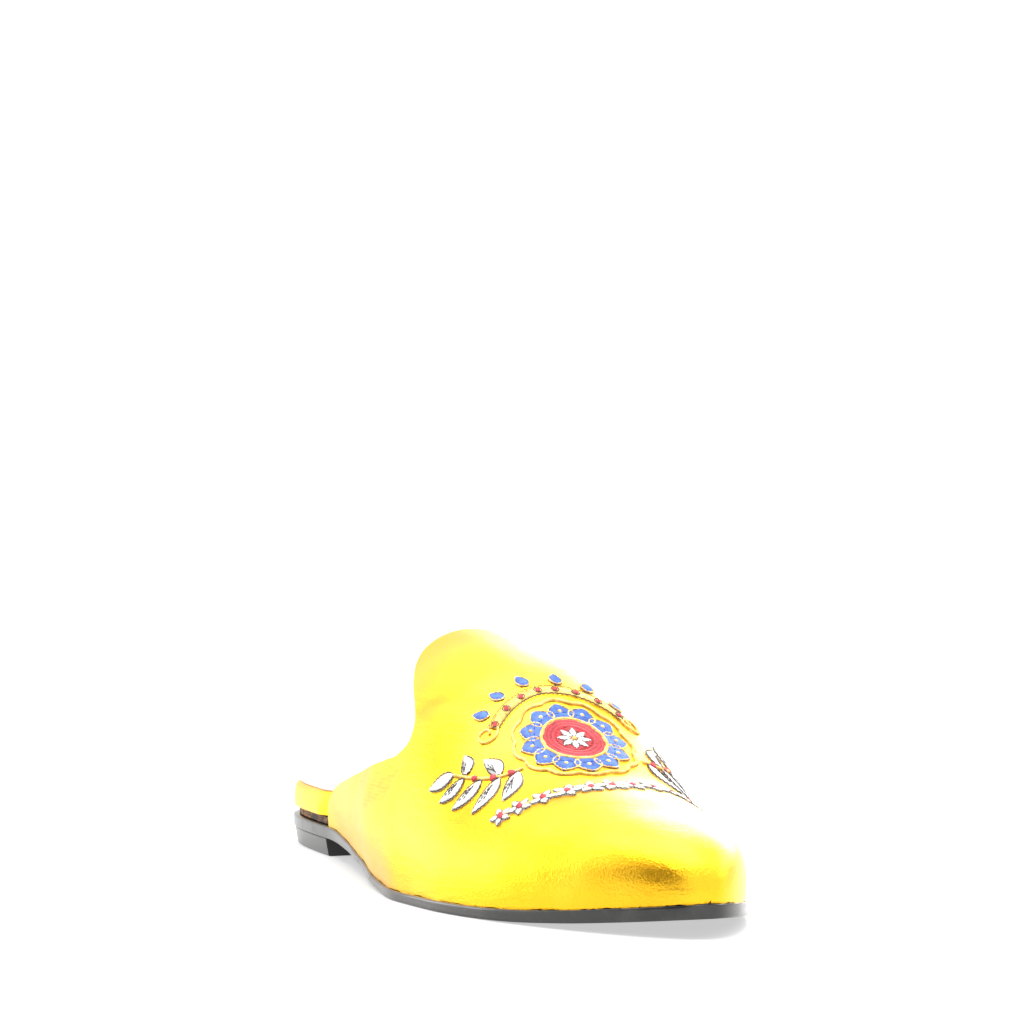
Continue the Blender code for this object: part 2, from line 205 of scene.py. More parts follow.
class Last:
    """The shoemaker's form: the sole's outline, its rise and the upper's sections."""

    def __init__(self) -> None:
        """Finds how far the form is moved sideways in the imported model."""
        self.shift = 0.0
        run = np.linspace(0.0, LENGTH, 2001)
        raw = float((self.centre(run) - self.half_width(run, 0.0)).min())
        self.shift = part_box("outsole")[0][0] - raw

    def read(self, table: tuple, place: int, station: Array) -> Array:
        """One column of a table at stations in metres."""
        places, values = np.array(table)[:, [0, place]].T
        return steady_curve(places, values, np.asarray(station) / LENGTH)

    def width(self, station: Array) -> Array:
        """Full width of the sole, rounded off at both ends."""
        share = np.clip(np.asarray(station) / LENGTH, 0, 1)
        plain = HEEL_WIDTH * self.read(PLAN, 1, station) + BALL_WIDTH * self.read(PLAN, 2, station)
        toe = np.sqrt(np.clip(1 - share**TOE_BLUNTNESS, 0, 1))
        heel = np.sqrt(np.clip(1 - (1 - share) ** (HEEL_BLUNTNESS * LENGTH / HEEL_WIDTH), 0, 1))
        return plain * toe * heel

    def centre(self, station: Array) -> Array:
        """Sideways place of the sole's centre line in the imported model."""
        return BALL_WIDTH * self.read(PLAN, 3, station) + self.shift

    def half_width(self, station: Array, inset: float) -> Array:
        """Half the width of a layer that stands in from the sole's edge."""
        squeezed = (station - inset) / (LENGTH - 2 * inset) * LENGTH
        return self.width(squeezed) / 2 * (1 - 2 * inset / BALL_WIDTH)

    def sole_top(self, station: Array) -> Array:
        """Height of the outsole's upper face."""
        low = HEEL_HEIGHT * self.read(RISE, 1, station) + TOE_SPRING * self.read(RISE, 2, station)
        return low + OUTSOLE_THICKNESS * self.read(RISE, 3, station)

    def footbed_rim(self, station: Array) -> Array:
        """Height of the footbed's rim."""
        board = self.sole_top(station) + 2 * CLEARANCE + BOARD_THICKNESS
        return board + FOOTBED_THICKNESS * self.read(FOOTBED, 1, station)

    def crown(self, station: Array) -> Array:
        """Height of the upper's ridge above the sole."""
        share = np.clip(np.asarray(station) / LENGTH, 0, 1)
        plain = INSTEP_HEIGHT * self.read(LAST, 1, station)
        plain = plain + TOE_BOX_HEIGHT * self.read(LAST, 2, station)
        nose = (LENGTH - UPPER_INSET) / LENGTH
        return plain * np.sqrt(np.clip(1 - (share / nose) ** NOSE_BLUNTNESS, 0, 1))

    def edge_normal(self, station: Array, side: int) -> tuple[Array, Array]:
        """Direction square to the feather line in plan, on the outer side at -1 or inner at 1."""
        step = 0.00005
        high = np.clip(station + step, 0, LENGTH - UPPER_INSET)
        low = np.clip(station - step, 0, LENGTH - UPPER_INSET)
        reach_high = side * self.half_width(high, UPPER_INSET) + self.centre(high)
        reach_low = side * self.half_width(low, UPPER_INSET) + self.centre(low)
        slope = (reach_high - reach_low) / np.maximum(high - low, TINY)
        size = np.sqrt(1 + slope**2)
        return side / size, side * slope / size

    def upper(self, station: Array, around: Array) -> Array:
        """Points on the upper's outer face.

        Args:
            station: distances from the heel.
            around: the way round the section, 0 at the outer edge, 0.5 on the ridge, 1 inside.

        Returns:
            An array with x, y and z along its last axis.
        """
        angle = math.pi * around
        round_off = np.where(around < 0.5, self.read(LAST, 5, station), self.read(LAST, 6, station))
        power = 2 / round_off
        across = np.sign(np.cos(angle)) * np.abs(np.cos(angle)) ** power
        lift = np.clip(np.sin(angle), 0, 1) ** power
        height = self.crown(station) * lift
        ridge = BALL_WIDTH * self.read(LAST, 3, station) * lift**2
        belly = BALL_WIDTH * self.read(LAST, 4, station)
        swell = belly * np.sin(np.minimum(height / BELLY_HEIGHT, 1) * math.pi / 2)
        outer_x, outer_y = self.edge_normal(station, -1)
        inner_x, inner_y = self.edge_normal(station, 1)
        outer_part, inner_part = (1 + across) / 2, (1 - across) / 2
        push_x = outer_x * outer_part + inner_x * inner_part
        push_y = outer_y * outer_part + inner_y * inner_part
        reach = self.half_width(station, UPPER_INSET)
        x = self.centre(station) + ridge - reach * across + swell * push_x
        y = LENGTH / 2 - station + swell * push_y
        z = self.sole_top(station) + CLEARANCE + height
        return np.stack([x, y, z], axis=-1)


# ---- Shader maths


class Wire:
    """A shader socket that takes part in Python sums."""

    def __init__(self, nodes: "Nodes", socket: bpy.types.NodeSocket) -> None:
        """Keeps the socket and the material's node maker."""
        self.nodes = nodes
        self.socket = socket

    def _maths(self, operation: str, *values: object) -> "Wire":
        """Adds a Math node on this and other values."""
        return self.nodes.add("ShaderNodeMath", {"operation": operation}, dict(enumerate(values)))

    def __add__(self, other: object) -> "Wire":
        """This plus another."""
        return self._maths("ADD", self, other)

    __radd__ = __add__

    def __mul__(self, other: object) -> "Wire":
        """This times another."""
        return self._maths("MULTIPLY", self, other)

    def __sub__(self, other: object) -> "Wire":
        """This less another."""
        return self._maths("SUBTRACT", self, other)

    def step(self, low: float, high: float) -> "Wire":
        """A ramp from 0 at low to 1 at high with soft ends."""
        settings = {"interpolation_type": "SMOOTHSTEP"}
        return self.nodes.add("ShaderNodeMapRange", settings, {0: self, 1: low, 2: high})


class Nodes:
    """Makes the nodes of one material, or of the world."""

    def __init__(self, name: str, world: bool = False) -> None:
        """Starts a material or a world with its surface shader.

        Args:
            name: the material's or the world's name.
            world: whether it is a world.
        """
        self.owner = (bpy.data.worlds if world else bpy.data.materials).new(name)
        self.owner.use_nodes = True
        self.tree = self.owner.node_tree
        self.surface = self.tree.nodes["Background" if world else "Principled BSDF"]

    def plug(self, socket: bpy.types.NodeSocket, value: object) -> None:
        """Gives an input socket a wire or a plain value."""
        if isinstance(value, Wire):
            self.tree.links.new(value.socket, socket)
        else:
            socket.default_value = value

    def add(self, kind: str, settings: dict, sockets: dict, out: object = 0) -> Wire:
        """Adds a node with its settings first and then its sockets.

        Args:
            kind: the node's type.
            settings: attributes of the node.
            sockets: values or wires by socket name or number.
            out: the output socket to hand back.

        Returns:
            The wire that leaves the node.
        """
        node = self.tree.nodes.new(kind)
        for key, value in settings.items():
            setattr(node, key, value)
        for key, value in sockets.items():
            self.plug(node.inputs[key], value)
        return Wire(self, node.outputs[out])

    def place(self, stretch: tuple[float, float, float] = (1, 1, 1)) -> Wire:
        """Object coordinates in millimetres, stretched along each axis."""
        base = self.add("ShaderNodeTexCoord", {}, {}, "Object")
        scale = tuple(1000 * part for part in stretch)
        return self.add("ShaderNodeMapping", {}, {"Vector": base, "Scale": scale})

    def noise(self, at: Wire, scale: float, detail: float = 3.0) -> Wire:
        """Soft noise, its scale in turns to the millimetre."""
        sockets = {"Vector": at, "Scale": scale, "Detail": detail}
        return self.add("ShaderNodeTexNoise", {}, sockets, "Fac")

    def cells(self, at: Wire, scale: float) -> Wire:
        """Distance to the nearest grain."""
        return self.add("ShaderNodeTexVoronoi", {}, {"Vector": at, "Scale": scale}, "Distance")

    def blend(self, factor: object, first: object, second: object) -> Wire:
        """A colour mixed from two."""
        sockets = {0: factor, 6: first, 7: second}
        return self.add("ShaderNodeMix", {"data_type": "RGBA"}, sockets, 2)

    def bump(self, height: Wire, distance: float, strength: float = 1.0) -> Wire:
        """Turns a height into a normal, the distance in metres."""
        sockets = {"Height": height, "Distance": distance, "Strength": strength}
        return self.add("ShaderNodeBump", {}, sockets, "Normal")

    def dress(self, **values: object) -> bpy.types.ID:
        """Sets the surface's sockets, named with underscores for spaces.

        Returns:
            The finished material or world.
        """
        for key, value in values.items():
            self.plug(self.surface.inputs[key.replace("_", " ")], value)
        return self.owner


# ---- Finishes


@dataclass(frozen=True)
class GoldLeather:
    """Gold foil laid on leather: bright, with a fine grain, faint sideways creases and painted shade
    in the upper's creases.
    """

    light: tuple = (1.0, 0.61, 0.032, 1.0)
    deep: tuple = (1.0, 0.50, 0.014, 1.0)
    # Orange-brown painted shade, laid where the upper's creases sink in
    crease: tuple = (0.86, 0.36, 0.02, 1.0)
    roughness: float = 0.33

    def make(self) -> bpy.types.Material:
        """Builds the leather."""
        n = Nodes("gold leather")
        here = n.place()
        flow = n.place((0.25, 0.25, 1.0))
        cloud = n.noise(here, 0.035, 2.0)
        streak = n.noise(flow, 0.55, 4.0)
        grain = n.cells(here, 1.7)
        fine = n.noise(here, 2.6, 3.0)
        colour = n.blend(cloud.step(0.3, 0.7), self.deep, self.light)
        # Painted shade: the leather turns to the crease colour where the upper's creases are deep
        crease_shade_mask = n.add("ShaderNodeAttribute", {"attribute_name": "crease_shade_mask"}, {}, "Fac")
        colour = n.blend(crease_shade_mask * (streak + 0.2), colour, self.crease)
        rough = self.roughness + (fine - 0.5) * 0.16 + (cloud - 0.5) * 0.10
        height = grain * 0.5 + streak * 1.6 + fine * 0.5
        return n.dress(
            Base_Color=colour,
            Metallic=1.0,
            Roughness=rough,
            Normal=n.bump(height, 0.00010),
        )


@dataclass(frozen=True)
class PaleLining:
    """Pale pinkish lining leather, matt with fine pores."""

    light: tuple = (0.86, 0.80, 0.74, 1.0)
    deep: tuple = (0.74, 0.66, 0.60, 1.0)
    name: str = "pale lining"

    def make(self) -> bpy.types.Material:
        """Builds the lining."""
        n = Nodes(self.name)
        here = n.place()
        cloud = n.noise(here, 0.08, 4.0)
        pores = n.cells(here, 2.2)
        colour = n.blend(cloud.step(0.25, 0.75), self.deep, self.light)
        return n.dress(
            Base_Color=colour,
            Roughness=0.62 + (cloud - 0.5) * 0.2,
            Normal=n.bump(pores + cloud * 0.5, 0.00006, 0.6),
        )


@dataclass(frozen=True)
class BlackSole:
    """Black sole edge with a grey sheen, fine trimming lines and light scuffs."""

    black: tuple = (0.010, 0.010, 0.010, 1.0)
    scuffed: tuple = (0.045, 0.043, 0.042, 1.0)
    roughness: float = 0.30
    coat: float = 0.40
    name: str = "black sole"

    def make(self) -> bpy.types.Material:
        """Builds the sole's finish."""
        n = Nodes(self.name)
        here = n.place()
        lines = n.noise(n.place((0.05, 0.05, 1.0)), 3.2, 3.0)
        cloud = n.noise(here, 0.12, 5.0)
        grit = n.noise(here, 1.9, 3.0)
        wear = cloud.step(0.52, 0.80) * 0.7
        colour = n.blend(wear, self.black, self.scuffed)
        return n.dress(
            Base_Color=colour,
            Coat_Weight=self.coat,
            Roughness=self.roughness + wear * 0.25 + (grit - 0.5) * 0.12,
            Normal=n.bump(lines + grit * 0.4, 0.00006, 0.7),
        )


@dataclass(frozen=True)
class DarkBoard:
    """Dark brown fibre edge of the insole board."""

    dark: tuple = (0.030, 0.013, 0.006, 1.0)
    warm: tuple = (0.40, 0.17, 0.04, 1.0)

    def make(self) -> bpy.types.Material:
        """Builds the board's finish."""
        n = Nodes("dark board")
        here = n.place()
        fibres = n.noise(n.place((0.3, 0.3, 1.5)), 1.4, 4.0)
        patch = n.noise(here, 0.16, 3.0)
        colour = n.blend((patch * fibres * 2).step(0.35, 0.75), self.dark, self.warm)
        return n.dress(Base_Color=colour, Roughness=0.7, Normal=n.bump(fibres, 0.00008))


class Thread(Enum):
    """The embroidery's thread colours: a dark and a light tone of each."""

    BLUE = ((0.022, 0.080, 0.34, 1.0), (0.055, 0.17, 0.56, 1.0))
    RED = ((0.34, 0.006, 0.014, 1.0), (0.58, 0.022, 0.036, 1.0))
    WHITE = ((0.52, 0.515, 0.50, 1.0), (0.74, 0.735, 0.72, 1.0))
    BLACK = ((0.012, 0.010, 0.010, 1.0), (0.045, 0.038, 0.036, 1.0))
    GOLD = ((0.56, 0.31, 0.045, 1.0), (0.88, 0.62, 0.18, 1.0))

    def make(self) -> bpy.types.Material:
        """Builds this thread's silk finish."""
        dark, light = self.value
        n = Nodes(f"{self.name.lower()} thread")
        here = n.place()
        tone = n.noise(here, 0.7, 3.0)
        twist = n.noise(here, 4.5, 2.0)
        return n.dress(
            Base_Color=n.blend(tone.step(0.32, 0.68), dark, light),
            Metallic=0.55 if self is Thread.GOLD else 0.0,
            Sheen_Weight=0.15,
            Roughness=0.46 + (tone - 0.5) * 0.2,
            Normal=n.bump(twist, 0.00005, 0.8),
        )


# ---- Modelling helpers


def deselect() -> None:
    """Leaves nothing selected and edit mode closed."""
    if bpy.context.object and bpy.context.object.mode != "OBJECT":
        bpy.ops.object.mode_set(mode="OBJECT")
    bpy.ops.object.select_all(action="DESELECT")


def select(piece: Piece) -> None:
    """Makes one piece the selected and active one."""
    deselect()
    piece.select_set(True)
    bpy.context.view_layer.objects.active = piece


def set_points(piece: Piece, points: Array) -> None:
    """Moves a mesh's vertices to new places."""
    piece.data.vertices.foreach_set("co", np.asarray(points, float).reshape(-1))
    piece.data.update()


def set_layer(piece: Piece, x: Array, station: Array, z: Array) -> None:
    """Moves a mesh's vertices to stations, sideways places and heights."""
    set_points(piece, np.stack([x, LENGTH / 2 - station, z], axis=1))


def get_points(piece: Piece) -> Array:
    """A mesh's vertices as rows of x, y and z."""
    flat = np.empty(len(piece.data.vertices) * 3)
    piece.data.vertices.foreach_get("co", flat)
    return flat.reshape(-1, 3)


def add_grid(name: str, columns: int, rows: int) -> Piece:
    """Adds a flat grid from 0 to 1 each way, to be shaped.

    Args:
        name: the piece's name.
        columns: faces along x.
        rows: faces along y.

    Returns:
        The new object, whose vertices hold their shares of the way in x and y.
    """
    deselect()
    bpy.ops.mesh.primitive_grid_add(
        x_subdivisions=columns, y_subdivisions=rows, size=1.0, location=(0.5, 0.5, 0.0)
    )
    bpy.ops.object.transform_apply(location=True, rotation=True, scale=True)
    piece = bpy.context.object
    piece.name = name
    piece.data.name = name
    return piece


def apply_modifier(piece: Piece, kind: str, **settings: object) -> None:
    """Adds a modifier with its settings and applies it."""
    select(piece)
    modifier = piece.modifiers.new(kind.lower(), kind)
    for key, value in settings.items():
        setattr(modifier, key, value)
    bpy.ops.object.modifier_apply(modifier=modifier.name)


def close_body(piece: Piece) -> None:
    """Merges doubles, fills a mesh's open ends and turns its faces outwards."""
    select(piece)
    bpy.ops.object.mode_set(mode="EDIT")
    bpy.ops.mesh.select_all(action="SELECT")
    bpy.ops.mesh.remove_doubles(threshold=MERGE_DISTANCE)
    bpy.ops.mesh.fill_holes(sides=0)
    bpy.ops.mesh.select_all(action="SELECT")
    bpy.ops.mesh.normals_make_consistent(inside=False)
    bpy.ops.object.mode_set(mode="OBJECT")


def grid_normals(mesh: Array) -> Array:
    """Unit normals of a grid of points, turned up along its middle column."""
    normal = np.cross(np.gradient(mesh, axis=1), np.gradient(mesh, axis=0))
    normal /= np.maximum(np.linalg.norm(normal, axis=2, keepdims=True), TINY)
    return normal * np.sign(normal[:, mesh.shape[1] // 2, 2].mean())


def half_section(around: Array, marks: tuple) -> tuple:
    """Reads places on a closed section, which runs from under its middle to the top on each side.

    Args:
        around: the way round both halves, from 0 to 1.
        marks: where the stretches of a half start and end, from 0 to 1.

    Returns:
        The side (-1 or 1), the way up the half, and how much of each stretch is done.
    """
    sign = np.where(around < 0.5, -1.0, 1.0)
    way = np.where(around < 0.5, around, 1 - around) * 2
    return sign, way, [np.clip((way - a) / (b - a), 0, 1) for a, b in zip(marks, marks[1:])]


def run_along(line: Array) -> Array:
    """Distance run along a line of points, from 0 at its first."""
    return np.concatenate([[0], np.cumsum(np.linalg.norm(np.diff(line, axis=0), axis=1))])


def finish_piece(piece: Piece, materials: list[bpy.types.Material], angle: float) -> None:
    """Gives a piece its materials, smooths it and lets it ride on the slipper.

    Args:
        piece: the object.
        materials: its materials in slot order.
        angle: edges sharper than this many degrees stay sharp.
    """
    for place, material in enumerate(materials):
        if place < len(piece.data.materials):
            piece.data.materials[place] = material
        else:
            piece.data.materials.append(material)
    select(piece)
    bpy.ops.object.shade_smooth_by_angle(angle=math.radians(angle))
    deselect()
    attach(piece, "root")
    LOG.info("%s: %d faces", piece.name, len(piece.data.polygons))


# ---- Upper


@dataclass
class Crease:
    """A soft trough or ridge across the upper, from one place to another."""

    start: tuple[float, float]
    end: tuple[float, float]
    depth: float
    width: float
    bow: float = 0.0


@dataclass
class Upper:
    """The gold leather vamp, its pale lining and its folded edge."""

    last: Last
    columns: int = 132
    rows: int = 120
    feather_wave: float = 0.00018
    edge_blend: float = 0.012
    nose_blend: float = 0.0004
    ripple_height: float = 0.00005
    # Crease depth at which the leather's painted shade is full
    deepest_crease: float = 0.00045
    creases: tuple[Crease, ...] = (
        # Fold that runs from the throat's outer corner towards the vamp's middle
        Crease((0.545, 0.275), (0.625, 0.405), -0.00055, 0.0026, 0.25),
        Crease((0.560, 0.260), (0.650, 0.370), 0.00050, 0.0045, 0.22),
        # Small pulls below the throat's corner
        Crease((0.560, 0.190), (0.545, 0.110), -0.00060, 0.0015),
        Crease((0.578, 0.195), (0.570, 0.120), -0.00050, 0.0014),
        Crease((0.535, 0.165), (0.520, 0.090), -0.00042, 0.0015),
        # The same on the inner side, fainter
        Crease((0.560, 0.800), (0.545, 0.880), -0.00045, 0.0016),
        Crease((0.580, 0.740), (0.640, 0.620), -0.00035, 0.0055, -0.2),
        # Where the ball of the foot bends the vamp
        Crease((0.700, 0.090), (0.735, 0.300), -0.00022, 0.0060, 0.1),
        Crease((0.730, 0.700), (0.690, 0.920), -0.00022, 0.0060, -0.1),
    )

    def stations(self, along: Array, around: Array) -> Array:
        """Stations of the grid's rows, from the topline to the nose."""
        start = LENGTH * steady_curve(TOPLINE[:, 0], TOPLINE[:, 1], around)
        end = LENGTH - UPPER_INSET
        eased = 0.15 * (1 - (1 - along) ** 3) + 0.85 * np.sin(along * math.pi / 2)
        return start + (end - start) * eased

    def relief(self, station: Array, around: Array) -> Array:
        """Height of the creases and of the leather's slight unevenness."""
        share = station / LENGTH
        lift = np.zeros_like(share)
        for crease in self.creases:
            ax, ay = crease.start[0] * LENGTH, crease.start[1] * VAMP_GIRTH
            bx, by = crease.end[0] * LENGTH, crease.end[1] * VAMP_GIRTH
            dx, dy = bx - ax, by - ay
            size = math.hypot(dx, dy)
            px, py = station - ax, around * VAMP_GIRTH - ay
            t = (px * dx + py * dy) / size**2
            off = (px * dy - py * dx) / size
            off = off - crease.bow * size * t * (1 - t)
            fade = smooth_step(-0.15, 0.25, t) * smooth_step(1.15, 0.75, t)
            lift = lift + crease.depth * fade * np.exp(-((off / crease.width) ** 2))
        ripple = np.sin(share * 61 + around * 9) * np.sin(around * 37 - share * 23)
        ripple = ripple * smooth_step(0.02, 0.10, around) * smooth_step(0.98, 0.90, around)
        return lift + self.ripple_height * ripple

    def edge_drop(self, run: Array, around: Array) -> Array:
        """How far the lasted edge comes down on the sole, wavering a little."""
        toe = smooth_step(0.70 * LENGTH, 0.92 * LENGTH, run)
        wave = 0.6 * np.sin(run * 410) + 0.4 * np.sin(run * 997 + 1.3)
        wave = wave + toe * 0.7 * np.sin(run * 2900 + 3 * np.sin(run * 350))
        nose = np.exp(-(LENGTH - UPPER_INSET - run) / self.nose_blend)
        edge = np.minimum(around, 1 - around)
        near = 1 - (1 - np.exp(-((edge / self.edge_blend) ** 2))) * (1 - nose)
        return near * (CLEARANCE * 0.8 + self.feather_wave * wave)

    def build(self) -> Piece:
        """Shapes the leather on the last and gives it its wall.

        Returns:
            The upper's object.
        """
        piece = add_grid("upper_leather", self.columns, self.rows)
        grid = get_points(piece)
        columns, along = grid[:, 0], grid[:, 1]
        around = columns - 0.045 * np.sin(2 * math.pi * columns)
        station = self.stations(along, around)
        points = self.last.upper(station, around)
        relief = self.relief(station, around)
        # Sorted into rows of the grid, raised by the creases and lowered at the lasted edge
        shape = (self.rows + 1, self.columns + 1)
        order = np.lexsort((columns, along))
        mesh = points[order].reshape(*shape, 3)
        nose_fade = np.linspace(1, 0, shape[0])[:, None] ** 0.3
        mesh = mesh + grid_normals(mesh) * (relief[order].reshape(shape) * nose_fade)[:, :, None]
        mesh[:, :, 2] -= self.edge_drop(station, around)[order].reshape(shape)
        points[order] = mesh.reshape(-1, 3)
        set_points(piece, points)
        # How deep the creases sink, kept as a mask for the leather's painted shade
        crease_shade_mask = piece.data.attributes.new("crease_shade_mask", "FLOAT", "POINT")
        crease_shade_mask.data.foreach_set("value", np.clip(-relief / self.deepest_crease, 0, 1))
        crest = self.rows // 3 * self.columns + self.columns // 2
        if piece.data.polygons[crest].normal.z < 0:
            piece.data.flip_normals()
        for _ in range(3):
            piece.data.materials.append(None)
        self.close_nose(piece)
        apply_modifier(
            piece,
            "SOLIDIFY",
            thickness=UPPER_WALL,
            offset=-1.0,
            use_even_offset=False,
            use_rim=True,
            material_offset=1,
            material_offset_rim=2,
        )
        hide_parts("upper")
        return piece

    def close_nose(self, piece: Piece) -> None:
        """Merges the grid's last row, which meets in one point at the tip of the toe."""
        select(piece)
        tip = get_points(piece)[:, 1] < UPPER_INSET - LENGTH / 2 + 0.000001
        bpy.ops.object.mode_set(mode="EDIT")
        bpy.ops.mesh.select_mode(type="VERT")
        bpy.ops.mesh.select_all(action="DESELECT")
        bpy.ops.object.mode_set(mode="OBJECT")
        piece.data.vertices.foreach_set("select", tip)
        bpy.ops.object.mode_set(mode="EDIT")
        bpy.ops.mesh.merge(type="CENTER")
        bpy.ops.object.mode_set(mode="OBJECT")


# ---- Footbed


@dataclass
class Footbed:
    """The padded footbed: gold leather round its side and rim, and a pale sock on top."""

    last: Last
    rows: int = 150
    columns: int = 76
    # The underside, the wall, the rounded rim and the dished top, as shares of a half section
    marks: tuple = (0.0, 0.2, 0.45, 0.65, 1.0)
    pad_side: float = 0.00025
    sock_inset: float = 0.0011
    sock_lift: float = 0.00055
    sock_edge_fall: float = 0.0004
    sock_thickness: float = 0.0007

    def reach(self, station: Array) -> Array:
        """Half width of the footbed, which steps in where it enters the upper."""
        inside = UPPER_INSET + UPPER_WALL + CLEARANCE + 0.0004
        wing_end = LENGTH * HALF_TOPLINE[0][1] - WING_GAP
        t = smooth_step(wing_end - 0.009, wing_end, station)
        inset = FOOTBED_HEEL_INSET + (inside - FOOTBED_HEEL_INSET) * t
        step = 0.0002
        ahead, behind = (self.last.half_width(station + d, 0.0) for d in (step, -step))
        stretch = np.sqrt(1 + ((ahead - behind) / (2 * step)) ** 2)
        return np.maximum(self.last.half_width(station, 0.0) - inset * stretch, 0.0010)

    def run(self, count: int) -> Array:
        """Stations that crowd together at both round ends."""
        first = FOOTBED_HEEL_INSET + 0.0005
        end = LENGTH - (UPPER_INSET + UPPER_WALL + CLEARANCE) - 0.0030
        even = np.linspace(0, 1, count)
        middle = 0.5 * (1 - np.cos(even * math.pi))
        return first + (end - first) * (0.6 * middle + 0.4 * even)

    def top(self, station: Array, share: Array) -> Array:
        """Height of the footbed at a share of its half width, dished in the middle."""
        rim = self.last.footbed_rim(station)
        reach = self.reach(station)
        dish = FOOTBED_DISH * np.minimum(1.0, reach / (HEEL_WIDTH / 2))
        hollow = dish * (1 - smooth_step(0.30, 0.92, np.abs(share)))
        return rim - hollow

    def build(self) -> Piece:
        """Shapes the wrapped pad as a closed body.

        Returns:
            The pad's object.
        """
        piece = add_grid("footbed_wrap", self.columns, self.rows)
        around, along = get_points(piece)[:, :2].T
        stations = self.run(self.rows + 1)
        station = np.interp(along, np.linspace(0, 1, self.rows + 1), stations)
        rim = self.last.footbed_rim(station)
        low = self.last.sole_top(station) + 2 * CLEARANCE + BOARD_THICKNESS
        reach = self.reach(station)
        sign, way, (under, wall, bend, inward) = half_section(around, self.marks)
        radius = np.minimum(np.minimum(FOOTBED_ROUND, reach * 0.6), (rim - low) * 0.45)
        swell = self.pad_side * np.sin(wall * math.pi)
        x = reach * under - (1 - np.cos(bend * math.pi / 2)) * radius + swell
        x = np.where(way > self.marks[3], (reach - radius) * (1 - inward), x)
        z = low + wall * (rim - radius - low) + np.sin(bend * math.pi / 2) * radius
        z = np.where(way > self.marks[3], self.top(station, x / reach), z)
        set_layer(piece, self.last.centre(station) + sign * x, station, z)
        close_body(piece)
        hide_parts("footbed")
        return piece

    def build_sock(self) -> Piece:
        """Shapes the thin pale sock that lies on the pad.

        Returns:
            The sock's object.
        """
        piece = add_grid("sock_lining", 60, self.rows)
        grid = get_points(piece)
        stations = self.run(self.rows + 1)
        first, end = stations[0] + self.sock_inset, stations[-1] - 0.002
        station = first + (stations - stations[0]) / (stations[-1] - stations[0]) * (end - first)
        station = np.interp(grid[:, 1], np.linspace(0, 1, self.rows + 1), station)
        reach = np.maximum(self.reach(station) - FOOTBED_ROUND * 0.25 - self.sock_inset, 0.0008)
        across = grid[:, 0] * 2 - 1
        share = across * reach / self.reach(station)
        fall = self.sock_edge_fall * smooth_step(0.93, 1.0, np.abs(across))
        z = self.top(station, share) + self.sock_lift - fall
        x = self.last.centre(station) + across * reach
        set_layer(piece, x, station, z)
        if piece.data.polygons[0].normal.z < 0:
            piece.data.flip_normals()
        piece.data.materials.append(None)
        piece.data.materials.append(None)
        rim = {"thickness": self.sock_thickness, "offset": -1.0, "material_offset_rim": 1}
        apply_modifier(piece, "SOLIDIFY", **rim)
        return piece


# ---- Embroidery


class Cloth:
    """Flat embroidery places, in millimetres from the motif's middle, laid on the vamp.

    The first number goes round the vamp towards the inner side, the second down towards the toe.
    """

    def __init__(self, upper: Upper, middle: float) -> None:
        """Tabulates the vamp's outer face.

        Args:
            upper: the leather, with its creases.
            middle: station of the motif's middle on the ridge.
        """
        stations = np.linspace(0.42, 0.90, 241) * LENGTH
        around = np.linspace(0.02, 0.98, 481)
        ridge = len(around) // 2
        run, turn = np.meshgrid(stations, around, indexing="ij")
        mesh = upper.last.upper(run, turn)
        mesh = mesh + grid_normals(mesh) * upper.relief(run, turn)[:, :, None]
        down = run_along(mesh[:, ridge])
        down -= np.interp(middle, stations, down)
        self.down = np.linspace(-0.040, 0.050, 181)
        self.round = np.linspace(-0.056, 0.056, 225)
        self.sheet = np.empty((len(self.down), len(self.round), 3))
        for k, row in enumerate(np.interp(self.down, down, np.arange(len(stations)))):
            i = min(int(row), len(stations) - 2)
            line = mesh[i] * (i + 1 - row) + mesh[i + 1] * (row - i)
            girth = run_along(line)
            girth -= girth[ridge]
            for axis in range(3):
                self.sheet[k, :, axis] = np.interp(self.round, girth, line[:, axis])
        self.normal = grid_normals(self.sheet)

    def share(self, places: Array, marks: Array) -> tuple[Array, Array]:
        """Number of the mark before each place in millimetres, and the way on to the next."""
        way = (places / 1000 - marks[0]) / (marks[1] - marks[0])
        way = np.clip(way, 0, len(marks) - 1.001)
        return way.astype(int), (way - way.astype(int))[..., None]

    def lay(self, flat: Array, height: Array) -> Array:
        """Lays flat places on the vamp.

        Args:
            flat: places in millimetres, along the last axis.
            height: how far above the leather, in metres.

        Returns:
            Points in the model's frame.
        """
        i, fv = self.share(flat[..., 1], self.down)
        j, fa = self.share(flat[..., 0], self.round)

        def read(table: Array) -> Array:
            """Reads a table between its four nearest places."""
            near = table[i, j] * (1 - fa) + table[i, j + 1] * fa
            far = table[i + 1, j] * (1 - fa) + table[i + 1, j + 1] * fa
            return near * (1 - fv) + far * fv

        return read(self.sheet) + read(self.normal) * height[..., None]


# Sizes of the thread in millimetres. An edge has its width, its stitches' length and its height.
THREAD = 0.46
FINE_THREAD = 0.42
LEAF_EDGE = (0.36, 1.3, 0.66)
VEIN = (0.32, 1.3, 1.05)
SHORTEST_ROW = 0.25
SHORTEST_STITCH = 0.2
LONGEST_STITCH = 5.0
OVERRUN = 0.1


